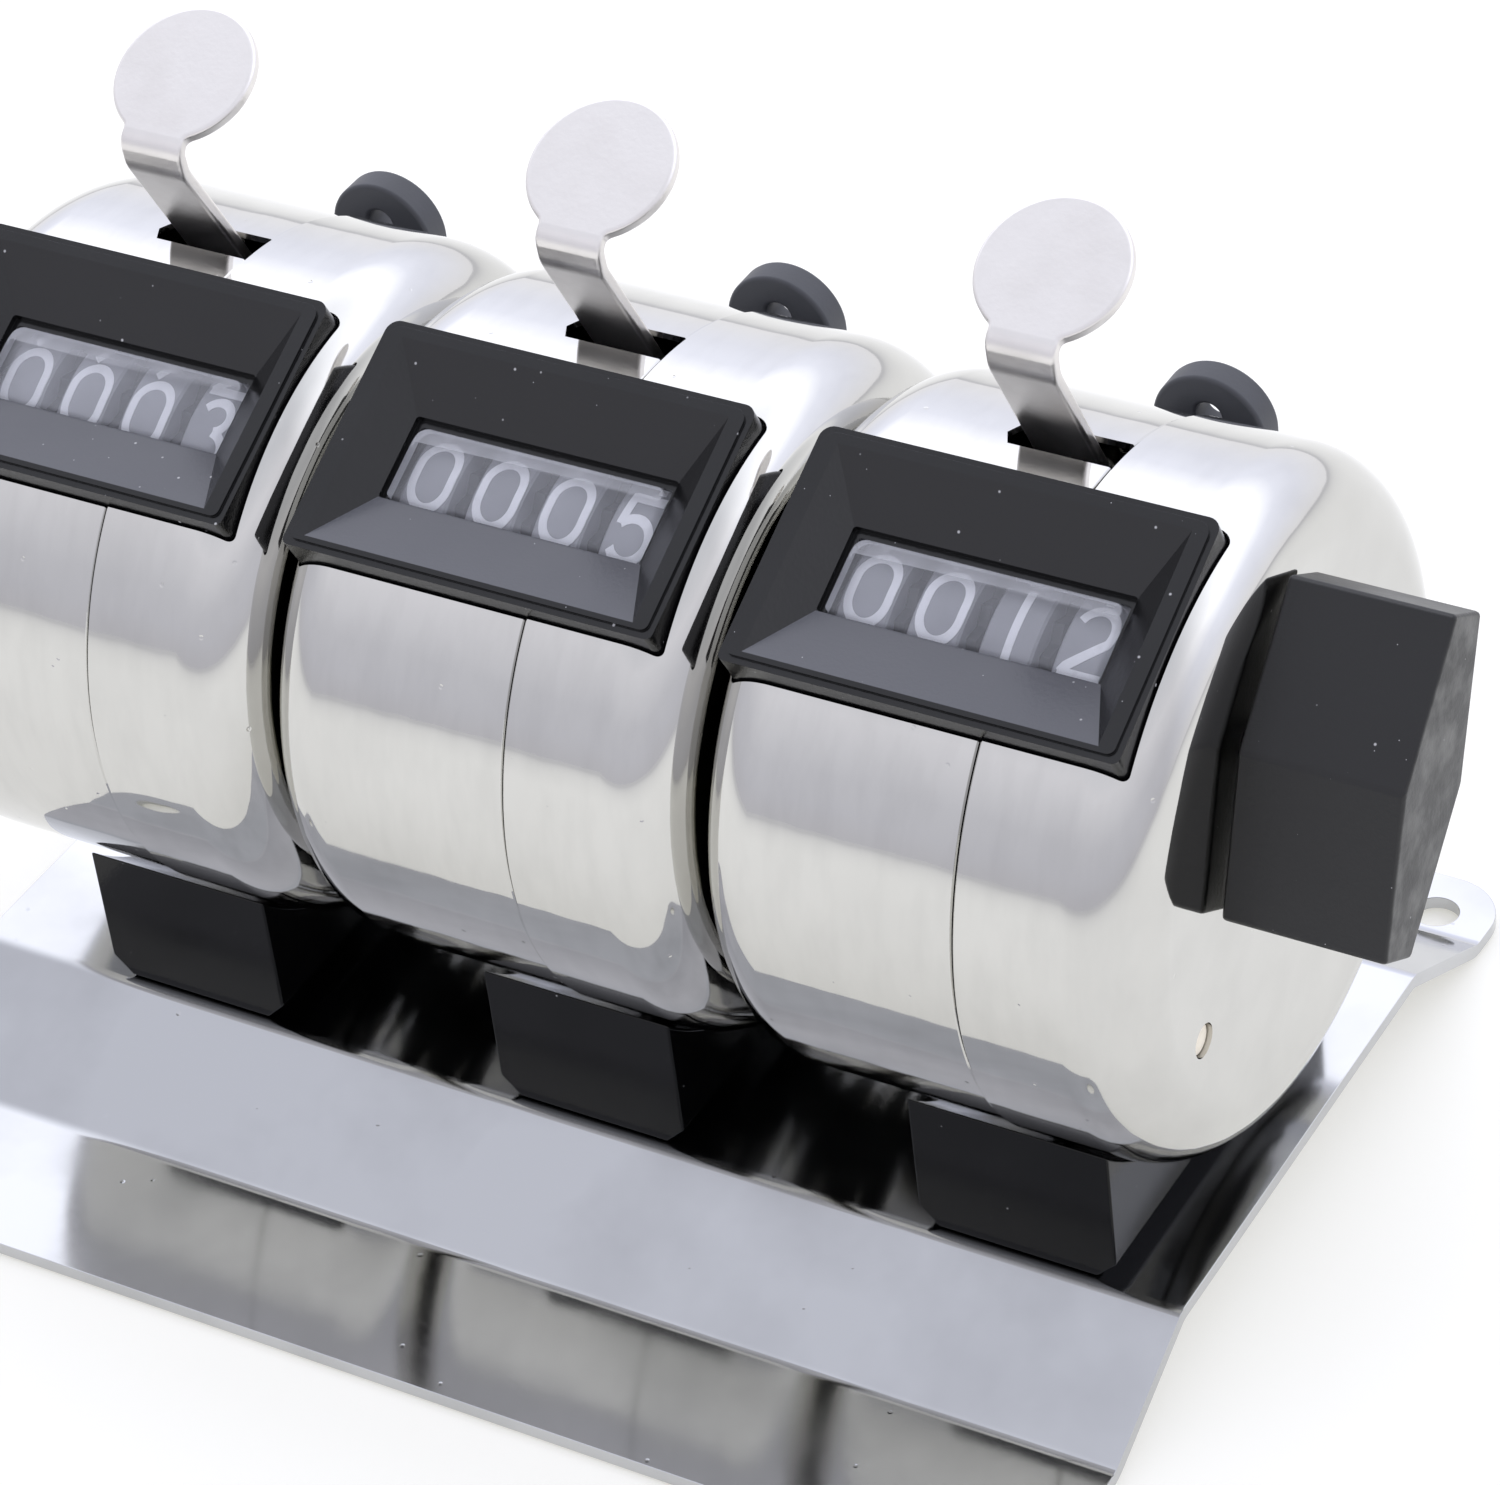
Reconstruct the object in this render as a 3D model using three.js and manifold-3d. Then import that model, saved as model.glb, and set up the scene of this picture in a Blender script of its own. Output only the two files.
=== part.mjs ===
// Desk bank of three chromed tally counters on a bent sheet base, in millimetres, +Z up.
// X runs along the bank, Y to the back. The origin is the centre of the footprint, on the desk.
import * as THREE from "three";
import { mergeVertices } from "three/addons/utils/BufferGeometryUtils.js";
import Module from "manifold-3d";

const wasm = await Module();
wasm.setup();

// ---------- driving dimensions ----------
// Each counter is drawn around its own centre: x = 0 mid-window, y = z = 0 on the drum's axis.
const counterPitch = 31.5;
const counters = ["left", "middle", "right"];
const drumAxisHeight = 32.9;

const drumRadius = 22.7;
const drumStep = 0.2; // the right shell is this much larger at the seam
const drumLeft = -14.7;
const drumRight = 16.05;
const drumWall = 0.8;
const leftRound = 4.5;
const rightRound = 5;
const sideHole = [-14.2, -6.4];
const sideHoleRadius = 1.15;
const seamX = 4.05;
const seamGap = 0.2;
const drumSides = 36;

const faceTilt = THREE.MathUtils.degToRad(26.7); // the window looks this far forward of straight up
const faceHeight = 22.87; // rim plane of the bezel, from the drum's axis
const bezelHalfWidth = 13.45;
const bezelHalfDepth = 8.3;
const bezelFloor = 18.9;
const bezelCornerCut = 0.9;
const rimWindow = { x: 11.95, back: 7.15, front: -7.5 };
const opening = { x: 9.6, back: 2.8, front: -2.95 };
const openingHeight = 20.87;
const lensSeat = { x: 10.2, back: 3.5, front: -3.7, low: 19.7, high: 20.6 };
const bezelPocket = { x: 10.6, back: 4.5, front: -4.6 }; // room for the numbered wheels, below the lens
const lensProud = 0.25; // the raised block of the lens stands this far above the foot of the funnel
const fitGap = 0.3;

const wheelAxisHeight = 10.8; // from the drum's axis, square to the window
const wheelRadius = 8.5;
const wheelSides = 20;
const wheelPitch = 4.9;
const wheelNames = ["thousands_wheel", "hundreds_wheel", "tens_wheel", "units_wheel"];
const wheelHalfWidth = 2.25;
const rimRight = 1.2; // right side of the numbered rim, from the wheel's middle
const gearTip = 7.6;
const gearRoot = 6.9;
const gearTeeth = 20;
const wheelBore = 1.4;

const pinionDistance = 11.2;
const pinionAngle = THREE.MathUtils.degToRad(-62);
const pinionTip = 3.3;
const pinionRoot = 2.4;
const pinionTeeth = 8;
const pinionFrom = 1.5;
const pinionTo = 2.35;
const pinionShaftRadius = 0.65;

const resetShaftRadius = 1.2;
const knobGap = 0.55;
const knobLength = 10.8;
const knobHalfSpan = 10.6;
const knobEndHalf = 2.05;
const knobMiddleHalf = 4.6;
const knobLean = THREE.MathUtils.degToRad(31.8);
const knobBoreDepth = 7.4;

const leverX = -0.6;
const leverWidth = 4.7;
const leverSheet = 0.9;
const leverPivot = [9.5, 13.5];
const leverKnee = [5.67, 17.8];
const leverBend = [-0.3, 29.6];
const leverNeck = [-0.45, 31.4];
const padCentre = [4.2, 33.8];
const padTilt = THREE.MathUtils.degToRad(26);
const padRadius = 5;
const padSides = 24;
const leverBossRadius = 1.9;
const leverPinRadius = 1;
const carrierRight = 11;
const cheekLeft = 10;
const leverCheek = [[4.6, 12], [5, 15.6], leverKnee, [8.6, 15.2], [10.6, 12.6], [8.8, 11.7]];
const bossRight = 8.4;
const slot = { left: -3.3, tip: -3.7, front: 1.05, back: 4.6 };

const pawlPivot = [6.3, 13];
const pawlFrom = 8.9;
const pawlTo = 9.6;
const pawlTipAngle = THREE.MathUtils.degToRad(8); // where it meets the units wheel, seen from the wheel
const pawlStudRadius = 0.7;
const pawlBossRadius = 1.5;

const springCoilRadius = 1.9;
const springWireRadius = 0.25;
const springTurns = 4;
const springStart = -6.6;
const springRise = 0.62; // along X, per turn
const springLeg = 3.2;
const springSteps = 30;

const plateLeft = [-12.3, -11.2];
const plateRight = [11.6, 12.8];
const plateOutline = [
  [-17, -6],
  [-13, 9],
  [-7, 14],
  [3, 16.5],
  [12, 16],
  [16.5, 10],
  [17, -6],
  [9, -18],
  [-9, -18],
];
const crossbar = { front: 13.2, back: 15.2, low: -2, high: 3 };
const lug = { x: 0.6, radius: 4.3, front: 20.4, back: 22.2, low: 7.4, height: 11.9 };
const lugHole = { height: 13, radius: 1.1 };
const lugArm = [[14, -1], [16.5, -1], [22.2, 7.4], [22.2, 8.2], [20.4, 8.2], [14, 2.2]];
const lugSlot = [[20.05, 3.61], [22.55, 7.29], [24, 9], [24, 12.5], [20.05, 12.5]];
const bridge = { halfDepth: 8, low: -18.5, high: -15.5 };

const platformDrop = 26.5; // the platform's top, below the drum's axis
const footLeft = -3.9;
const footRight = 10.2;
const footFront = -16.9;
const footBack = 13;
const footCornerCut = 1.4;
const saddleGap = 0.5;
const screwRadius = 1.3;
const screwHeadRadius = 2.7;
const screwHeadHeight = 1.15;

const sheet = 1;
const baseHalfLength = 46.5;
const platformHalfDepth = 17.3;
const slopeFoot = 27.1;
const frontEdge = -38.5;
const rearEdge = 33.6;
const bendRadius = 1.2;
const cornerRadius = 4.2;
const cornerHoleRadius = 1.6;
const cornerHoleInset = 4.1;

const knobEnd = counterPitch + drumRight + knobGap + knobLength;
const originX = (knobEnd - baseHalfLength) / 2;
const originY = (frontEdge + rearEdge) / 2;
const runningGap = 0.2;

const faceNormal = [-Math.sin(faceTilt), Math.cos(faceTilt)];
const wheelAxis = faceNormal.map((part) => part * wheelAxisHeight);
const pinionAxis = [
  wheelAxis[0] + pinionDistance * Math.cos(pinionAngle),
  wheelAxis[1] + pinionDistance * Math.sin(pinionAngle),
];

// ---------- materials ----------
const material = (color, roughness, metalness, opacity = 1) =>
  new THREE.MeshStandardMaterial({ color, roughness, metalness, opacity, transparent: opacity < 1 });
const chrome = () => material(0xd4d5d8, 0.08, 1);
const brushedNickel = () => material(0xc9c6c0, 0.35, 1);
const steel = () => material(0xa9a9a8, 0.3, 1);
const brass = () => material(0xb99a55, 0.3, 1);
const satinBlack = () => material(0x242427, 0.45, 0);
const glossBlack = () => material(0x0d0d0f, 0.15, 0);
const wheelBlack = () => material(0x55565c, 0.5, 0);
const clear = () => material(0xd9dbe0, 0.1, 0, 0.35);

// ---------- solids ----------
function manifoldOf(geometry) {
  const bare = geometry.index ? geometry.toNonIndexed() : geometry.clone();
  bare.deleteAttribute("normal");
  bare.deleteAttribute("uv");
  const merged = mergeVertices(bare, 1e-4);
  const vertProperties = merged.attributes.position.array;
  const build = (triVerts) => new wasm.Manifold(new wasm.Mesh({ numProp: 3, vertProperties, triVerts }));
  const made = build(new Uint32Array(merged.index.array));
  return made.volume() < 0 ? build(new Uint32Array(merged.index.array).reverse()) : made;
}

function geometryOf(made) {
  const { vertProperties, triVerts } = made.getMesh();
  const geometry = new THREE.BufferGeometry();
  geometry.setAttribute("position", new THREE.BufferAttribute(vertProperties, 3));
  return geometry.setIndex(new THREE.BufferAttribute(triVerts, 1));
}

const join = (...pieces) => geometryOf(pieces.map(manifoldOf).reduce((all, next) => all.add(next)));
const cut = (body, ...tools) =>
  geometryOf(tools.map(manifoldOf).reduce((left, tool) => left.subtract(tool), manifoldOf(body)));
const common = (first, second) => geometryOf(manifoldOf(first).intersect(manifoldOf(second)));

const shapeOf = (points) => new THREE.Shape(points.map(([u, v]) => new THREE.Vector2(u, v)));
const extruded = (points, from, to) =>
  new THREE.ExtrudeGeometry(shapeOf(points), { depth: to - from, bevelEnabled: false }).translate(0, 0, from);

// Outlines are [y, z] for prismX, [x, z] for prismY and [x, y] for prismZ.
const alongX = new THREE.Matrix4().set(0, 0, 1, 0, 1, 0, 0, 0, 0, 1, 0, 0, 0, 0, 0, 1);
const alongY = new THREE.Matrix4().set(1, 0, 0, 0, 0, 0, 1, 0, 0, 1, 0, 0, 0, 0, 0, 1);
const prismX = (points, from, to) => extruded(points, from, to).applyMatrix4(alongX);
const prismY = (points, from, to) => extruded(points, from, to).applyMatrix4(alongY);
const prismZ = (points, from, to) => extruded(points, from, to);

const ring = (count, radiusAt, [u, v] = [0, 0]) =>
  Array.from({ length: count }, (_, i) => {
    const angle = (2 * Math.PI * i) / count;
    return [u + radiusAt(i) * Math.cos(angle), v + radiusAt(i) * Math.sin(angle)];
  });
const rodX = (radius, from, to, centre, sides = 12) => prismX(ring(sides, () => radius, centre), from, to);
const rodZ = (radius, from, to, centre, sides = 12) => prismZ(ring(sides, () => radius, centre), from, to);
const gearX = (teeth, tip, root, from, to, centre) =>
  prismX(ring(2 * teeth, (i) => (i % 2 ? root : tip), centre), from, to);
const boxOf = (x0, x1, y0, y1, z0, z1) =>
  new THREE.BoxGeometry(x1 - x0, y1 - y0, z1 - z0).translate((x0 + x1) / 2, (y0 + y1) / 2, (z0 + z1) / 2);

// A box whose top and bottom rectangles differ: each is { x, back, front } at its own height.
function taperedBox(lower, lowerZ, upper, upperZ) {
  const geometry = new THREE.BoxGeometry(2, 2, 2);
  const at = geometry.attributes.position;
  for (let i = 0; i < at.count; i++) {
    const edge = at.getZ(i) > 0 ? upper : lower;
    const y = at.getY(i) > 0 ? edge.back : edge.front;
    at.setXYZ(i, at.getX(i) * edge.x, y, at.getZ(i) > 0 ? upperZ : lowerZ);
  }
  return geometry;
}

// The outline of a bent sheet: its middle line is a polyline whose corners are arcs.
function bentBand(points, thickness, radius, steps = 3) {
  const vectors = points.map(([u, v]) => new THREE.Vector2(u, v));
  const line = [];
  vectors.forEach((point, i) => {
    if (i === 0 || i === vectors.length - 1) {
      line.push(point);
      return;
    }
    const into = point.clone().sub(vectors[i - 1]).normalize();
    const out = vectors[i + 1].clone().sub(point).normalize();
    const turn = Math.atan2(into.cross(out), into.dot(out));
    const reach = radius * Math.tan(Math.abs(turn) / 2);
    const start = point.clone().addScaledVector(into, -reach);
    const side = Math.sign(turn) * radius;
    const centre = start.clone().add(new THREE.Vector2(-into.y, into.x).multiplyScalar(side));
    for (let k = 0; k <= steps; k++) line.push(start.clone().rotateAround(centre, (turn * k) / steps));
  });
  const edge = (half) =>
    line.map((point, i) => {
      const along = line[Math.min(i + 1, line.length - 1)].clone().sub(line[Math.max(i - 1, 0)]).normalize();
      return [point.x - along.y * half, point.y + along.x * half];
    });
  return [...edge(thickness / 2), ...edge(-thickness / 2).reverse()];
}

// ---------- drum shells ----------
// One shell is a cup about X: its flat side face is at x = side and its rim is at x = rim.
function cup(side, rim, radius, round) {
  const inward = Math.sign(rim - side);
  const arc = (size, angles) =>
    angles.map((degrees) => {
      const angle = THREE.MathUtils.degToRad(degrees);
      return [side + inward * (round - size * Math.cos(angle)), radius - round + size * Math.sin(angle)];
    });
  const profile = [
    [side, 0],
    ...arc(round, [0, 30, 60, 90]),
    [rim, radius],
    [rim, radius - drumWall],
    ...arc(round - drumWall, [90, 45, 0]),
    [side + inward * drumWall, 0],
  ];
  const points = profile.map(([x, r]) => new THREE.Vector2(r, x));
  return new THREE.LatheGeometry(points, drumSides).rotateZ(-Math.PI / 2);
}

function bezelAperture() {
  const x = bezelHalfWidth + fitGap;
  const y = bezelHalfDepth + fitGap;
  return boxOf(-x, x, -y, y, bezelFloor - 5, faceHeight + 5).rotateX(faceTilt);
}

const lugAperture = () => prismX(lugSlot, lug.x - lug.radius - fitGap, lug.x + lug.radius + fitGap);

const shaftHole = (x) => rodX(resetShaftRadius + 0.5, x - 2, x + 2, wheelAxis);

function leftShell() {
  const slotOutline = [
    [seamX + 1, slot.front],
    [seamX + 1, slot.back],
    [slot.left, slot.back],
    [slot.tip, (slot.front + slot.back) / 2],
    [slot.left, slot.front],
  ];
  return cut(
    cup(drumLeft, seamX - seamGap / 2, drumRadius, leftRound),
    bezelAperture(),
    lugAperture(),
    prismZ(slotOutline, 15, 26),
    shaftHole(drumLeft),
    rodZ(screwRadius + fitGap, -25, -20, [0, 0]),
  );
}

function rightShell() {
  return cut(
    cup(drumRight, seamX + seamGap / 2, drumRadius + drumStep, rightRound),
    bezelAperture(),
    lugAperture(),
    rodX(sideHoleRadius, drumRight - 2, drumRight + 2, sideHole),
    shaftHole(drumRight),
  );
}

// ---------- window ----------
function bezel() {
  const w = bezelHalfWidth;
  const d = bezelHalfDepth;
  const c = bezelCornerCut;
  const outline = [[-w, -d], [w, -d], [w, d - c], [w - c, d], [c - w, d], [-w, d - c]];
  const beyond = 1.5; // the funnel's tool runs on past the rim at the same slope
  const spread = (key) => opening[key] + beyond * (rimWindow[key] - opening[key]);
  const funnelTop = { x: spread("x"), back: spread("back"), front: spread("front") };
  const funnelHeight = openingHeight + beyond * (faceHeight - openingHeight);
  const well = (area, from, to) => boxOf(-area.x, area.x, area.front, area.back, from, to);
  return cut(
    prismZ(outline, bezelFloor, faceHeight),
    taperedBox(opening, openingHeight, funnelTop, funnelHeight),
    well(opening, lensSeat.high - 0.5, openingHeight + 0.5),
    well(lensSeat, lensSeat.low - 0.5, lensSeat.high),
    well(bezelPocket, bezelFloor - 1, lensSeat.low),
  );
}

function lens() {
  const inset = (area, gap) => [-area.x + gap, area.x - gap, area.front + gap, area.back - gap];
  return join(
    boxOf(...inset(lensSeat, 0.2), lensSeat.low + 0.1, lensSeat.high - 0.1),
    boxOf(...inset(opening, fitGap), lensSeat.low + 0.2, openingHeight + lensProud),
  );
}

// ---------- counting train ----------
function numberWheel(x) {
  return cut(
    join(
      rodX(wheelRadius, x - wheelHalfWidth, x + rimRight, wheelAxis, wheelSides),
      gearX(gearTeeth, gearTip, gearRoot, x + rimRight - 0.2, x + wheelHalfWidth, wheelAxis),
    ),
    rodX(wheelBore, x - wheelPitch, x + wheelPitch, wheelAxis, 8),
  );
}

function transferPinion(x) {
  return cut(
    gearX(pinionTeeth, pinionTip, pinionRoot, x + pinionFrom, x + pinionTo, pinionAxis),
    rodX(pinionShaftRadius + runningGap, x, x + 4, pinionAxis, 8),
  );
}

// ---------- thumb lever ----------
const padDirection = [Math.cos(padTilt), Math.sin(padTilt)];
const leverLeft = leverX - leverWidth / 2;
const leverRight = leverX + leverWidth / 2;

function thumbLever() {
  const intoPad = padCentre.map((value, i) => value - 0.6 * padRadius * padDirection[i]);
  const strip = bentBand([leverPivot, leverKnee, leverBend, leverNeck, intoPad], leverSheet, 1.2);
  const carrier = bentBand([leverPivot, leverKnee], 1.2, 0);
  const pad = new THREE.CylinderGeometry(padRadius, padRadius, leverSheet, padSides)
    .rotateX(Math.PI / 2 + padTilt)
    .translate(leverX, ...padCentre);
  return cut(
    join(
      prismX(strip, leverLeft, leverRight),
      prismX(carrier, leverLeft, carrierRight),
      pad,
      rodX(leverBossRadius, leverLeft, bossRight, leverPivot),
      prismX(leverCheek, cheekLeft, carrierRight),
    ),
    boxOf(bossRight - 0.1, cheekLeft - 0.05, 5, 13, 8, 15.2), // room for the pawl
    rodX(leverPinRadius + runningGap, leverLeft - 2, carrierRight + 2, leverPivot, 8),
  );
}

const withStud = (lever) => join(lever, rodX(pawlStudRadius, pawlFrom - 0.2, cheekLeft + 0.5, pawlPivot, 10));

function pawl() {
  const reach = gearTip + 0.35;
  const tip = [wheelAxis[0] + reach * Math.cos(pawlTipAngle), wheelAxis[1] + reach * Math.sin(pawlTipAngle)];
  const arm = [tip, [4.8, 11.2], [6.9, 12.4], [5.6, 14], [tip[0] + 0.2, tip[1] + 1]];
  return cut(
    join(prismX(arm, pawlFrom, pawlTo), rodX(pawlBossRadius, pawlFrom, pawlTo, pawlPivot)),
    rodX(pawlStudRadius + runningGap, pawlFrom - 1, pawlTo + 1, pawlPivot, 10),
  );
}

// Torsion spring around the lever's pin: a helix along X, one leg to the crossbar, one up to the lever.
class SpringPath extends THREE.Curve {
  getPoint(t) {
    const coil = 2 * Math.PI * springTurns * springCoilRadius;
    const along = t * (coil + 2 * springLeg) - springLeg;
    const turned = THREE.MathUtils.clamp(along, 0, coil) / springCoilRadius;
    const past = along - turned * springCoilRadius;
    const angle = turned + Math.PI;
    return new THREE.Vector3(
      springStart + (turned / (2 * Math.PI)) * springRise,
      leverPivot[0] + springCoilRadius * Math.cos(angle) - past * Math.sin(angle),
      leverPivot[1] + springCoilRadius * Math.sin(angle) + past * Math.cos(angle),
    );
  }
}

function returnSpring() {
  const section = shapeOf(ring(4, () => springWireRadius));
  const extrudePath = new SpringPath();
  return new THREE.ExtrudeGeometry(section, { steps: springSteps, bevelEnabled: false, extrudePath });
}

// ---------- frame inside each drum ----------
function chassis() {
  const { front, back, low, high } = crossbar;
  const lugSpan = [lug.x - lug.radius, lug.x + lug.radius];
  const lugEye = prismY(ring(10, () => lugHole.radius, [lug.x, lugHole.height]), lug.front - 1, lug.back + 1);
  const through = [plateLeft[0] - 1, plateRight[1] + 1];
  return cut(
    join(
      prismX(plateOutline, ...plateLeft),
      prismX(plateOutline, ...plateRight),
      boxOf(plateLeft[0], plateRight[1], -bridge.halfDepth, bridge.halfDepth, bridge.low, bridge.high),
      boxOf(plateLeft[0], plateRight[1], front, back, low, high),
      prismX(lugArm, ...lugSpan),
      boxOf(...lugSpan, lug.front, lug.back, lug.low, lug.height),
      prismY(ring(20, () => lug.radius, [lug.x, lug.height]), lug.front, lug.back),
    ),
    lugEye,
    rodX(resetShaftRadius + fitGap, ...through, wheelAxis, 8),
    rodX(pinionShaftRadius + runningGap, ...through, pinionAxis, 6),
    rodX(leverPinRadius + runningGap, ...through, leverPivot, 8),
    rodZ(screwRadius + runningGap, bridge.low - 1, bridge.high + 1, [0, 0], 8),
  );
}

function foot() {
  const saddle = drumRadius + saddleGap;
  const arcFrom = Math.asin(footBack / saddle);
  const arcTo = Math.asin(footFront / saddle);
  const steps = 8;
  const saddleArc = Array.from({ length: steps + 1 }, (_, i) => {
    const angle = arcFrom + ((arcTo - arcFrom) * i) / steps;
    return [saddle * Math.sin(angle), -saddle * Math.cos(angle)];
  });
  const low = 0.1 - platformDrop;
  const side = [[footFront, low], [footBack, low], ...saddleArc];
  const c = footCornerCut;
  const front = [
    [footLeft + c, low],
    [footRight - c, low],
    [footRight, low + c],
    [footRight, 0],
    [footLeft, 0],
    [footLeft, low + c],
  ];
  const block = common(prismX(side, footLeft, footRight), prismY(front, footFront - 1, footBack + 1));
  return cut(block, rodZ(screwRadius + runningGap, -30, -15, [0, 0]));
}

function footScrew() {
  const seat = -platformDrop - sheet - 0.1;
  return join(
    rodZ(screwHeadRadius, seat - screwHeadHeight, seat, [0, 0], 16),
    rodZ(screwRadius, seat - 0.2, bridge.high - 0.4, [0, 0]),
  );
}

// ---------- shared pieces ----------
function basePlate() {
  const top = drumAxisHeight - platformDrop;
  const middle = sheet / 2;
  const profile = bentBand(
    [
      [frontEdge, middle],
      [-slopeFoot, middle],
      [-platformHalfDepth, top - middle],
      [platformHalfDepth, top - middle],
      [slopeFoot, middle],
      [rearEdge, middle],
    ],
    sheet,
    bendRadius,
  );
  const corner = (x, y, from) =>
    [0, 1, 2, 3, 4].map((i) => {
      const angle = ((from + 22.5 * i) * Math.PI) / 180;
      return [x + cornerRadius * Math.cos(angle), y + cornerRadius * Math.sin(angle)];
    });
  const x = baseHalfLength - cornerRadius;
  const plan = [
    ...corner(x, frontEdge + cornerRadius, -90),
    ...corner(x, rearEdge - cornerRadius, 0),
    ...corner(-x, rearEdge - cornerRadius, 90),
    ...corner(-x, frontEdge + cornerRadius, 180),
  ];
  const cornerHoles = [-1, 1].flatMap((side) => {
    const holeX = side * (baseHalfLength - cornerHoleInset);
    return [frontEdge + cornerHoleInset, rearEdge - cornerHoleInset].map((y) =>
      rodZ(cornerHoleRadius, -2, 3, [holeX, y]),
    );
  });
  const screwHoles = counters.map((_, i) => rodZ(screwRadius + fitGap, 2, 9, [(i - 1) * counterPitch, 0]));
  return cut(
    common(prismX(profile, -baseHalfLength - 1, baseHalfLength + 1), prismZ(plan, -1, 20)),
    ...cornerHoles,
    ...screwHoles,
  );
}

function resetShaft() {
  const section = ring(16, () => resetShaftRadius, wheelAxis).slice(0, 14);
  const left = -counterPitch + plateLeft[0] - 0.8;
  return prismX(section, left, knobEnd - knobLength + knobBoreDepth - 0.4);
}

function resetKnob() {
  const long = [Math.sin(knobLean), Math.cos(knobLean)];
  const wide = [long[1], -long[0]];
  const corners = [
    [-knobEndHalf, knobHalfSpan],
    [-knobMiddleHalf, 0],
    [-knobEndHalf, -knobHalfSpan],
    [knobEndHalf, -knobHalfSpan],
    [knobMiddleHalf, 0],
    [knobEndHalf, knobHalfSpan],
  ];
  const outline = corners.map(([w, l]) => [0, 1].map((i) => wheelAxis[i] + w * wide[i] + l * long[i]));
  const from = knobEnd - knobLength;
  return cut(
    prismX(outline, from, knobEnd),
    rodX(resetShaftRadius + runningGap, from - 1, from + knobBoreDepth, wheelAxis, 16),
  );
}

// ---------- assembly ----------
const bank = new THREE.Group();
bank.position.set(-originX, -originY, 0);

function addPiece(parent, name, geometry, finish) {
  const mesh = new THREE.Mesh(geometryOf(manifoldOf(geometry)), finish());
  mesh.name = name;
  parent.add(mesh);
}

addPiece(bank, "base_plate", basePlate(), chrome);

const drumLine = new THREE.Group();
drumLine.position.z = drumAxisHeight;
bank.add(drumLine);
addPiece(drumLine, "reset_shaft", resetShaft(), steel);
addPiece(drumLine, "reset_knob", resetKnob(), satinBlack);

counters.forEach((side, index) => {
  const counter = new THREE.Group();
  counter.position.x = (index - 1) * counterPitch;
  drumLine.add(counter);
  const face = new THREE.Group();
  face.rotation.x = faceTilt;
  counter.add(face);
  const add = (name, geometry, finish) => addPiece(counter, `${side}_${name}`, geometry, finish);

  add("left_shell", leftShell(), chrome);
  add("right_shell", rightShell(), chrome);
  addPiece(face, `${side}_bezel`, bezel(), satinBlack);
  addPiece(face, `${side}_lens`, lens(), clear);
  wheelNames.forEach((name, order) => {
    const x = (order - 1.5) * wheelPitch;
    add(name, numberWheel(x), wheelBlack);
    if (order < wheelNames.length - 1) add(`transfer_pinion_${order + 1}`, transferPinion(x), brass);
  });
  const pinionRod = rodX(pinionShaftRadius, plateLeft[0] - 0.4, plateRight[1] + 0.4, pinionAxis, 8);
  add("pinion_shaft", pinionRod, steel);
  add("thumb_lever", withStud(thumbLever()), brushedNickel);
  add("lever_pin", rodX(leverPinRadius, plateLeft[0] - 0.5, plateRight[1] + 0.5, leverPivot), steel);
  add("pawl", pawl(), steel);
  add("return_spring", returnSpring(), steel);
  add("chassis", chassis(), satinBlack);
  add("foot", foot(), glossBlack);
  add("foot_screw", footScrew(), steel);
});

export default bank;
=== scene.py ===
"""Looks for the desk bank of three chromed tally counters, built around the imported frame.

Shapes are drawn in millimetres around one counter's own centre (x = 0 mid-window, y = z = 0 on the
drum's axis), then copied to each counter and scaled to metres.
"""

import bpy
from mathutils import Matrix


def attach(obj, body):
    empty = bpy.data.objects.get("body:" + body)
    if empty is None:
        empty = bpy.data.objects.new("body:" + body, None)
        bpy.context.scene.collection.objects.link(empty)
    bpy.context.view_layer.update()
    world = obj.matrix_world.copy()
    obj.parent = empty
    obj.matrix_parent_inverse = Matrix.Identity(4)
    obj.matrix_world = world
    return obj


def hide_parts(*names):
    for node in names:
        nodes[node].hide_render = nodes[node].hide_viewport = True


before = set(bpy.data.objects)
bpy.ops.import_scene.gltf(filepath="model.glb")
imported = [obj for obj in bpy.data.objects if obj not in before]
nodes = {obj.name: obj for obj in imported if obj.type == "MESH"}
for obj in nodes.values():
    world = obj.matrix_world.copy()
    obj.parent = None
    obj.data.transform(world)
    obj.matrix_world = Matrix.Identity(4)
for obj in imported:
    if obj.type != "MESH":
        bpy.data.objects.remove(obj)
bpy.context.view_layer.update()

import math

import bmesh
import bpy
from mathutils import Matrix, Vector

MM = 0.001
scene = bpy.context.scene

# ---------- dimensions, in millimetres ----------
COUNTERS = {"left": -37.7, "middle": -6.2, "right": 25.3}
DRUM_Y = 2.45
DRUM_Z = 32.9
READINGS = {"left": (0, 0, 0, 3), "middle": (0, 0, 0, 5), "right": (0, 0, 1, 2)}
WHEEL_PLAY = {  # how far each numeral sits below the middle of its window
    "left": (0.65, 0.75, 0.85, 1.0),
    "middle": (0.0, 0.1, 0.1, 0.1),
    "right": (0.05, 0.0, -0.1, -0.1),
}
WHEELS = ("thousands", "hundreds", "tens", "units")

DRUM_RADIUS = 22.7
DRUM_STEP = 0.2
DRUM_LEFT = -14.7
DRUM_RIGHT = 16.05
WALL = 0.45
LEFT_ROUND = 4.5
RIGHT_ROUND = 5.0
SEAM = 4.05
SEAM_GAP = 0.2
DRUM_SIDES = 240

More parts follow.
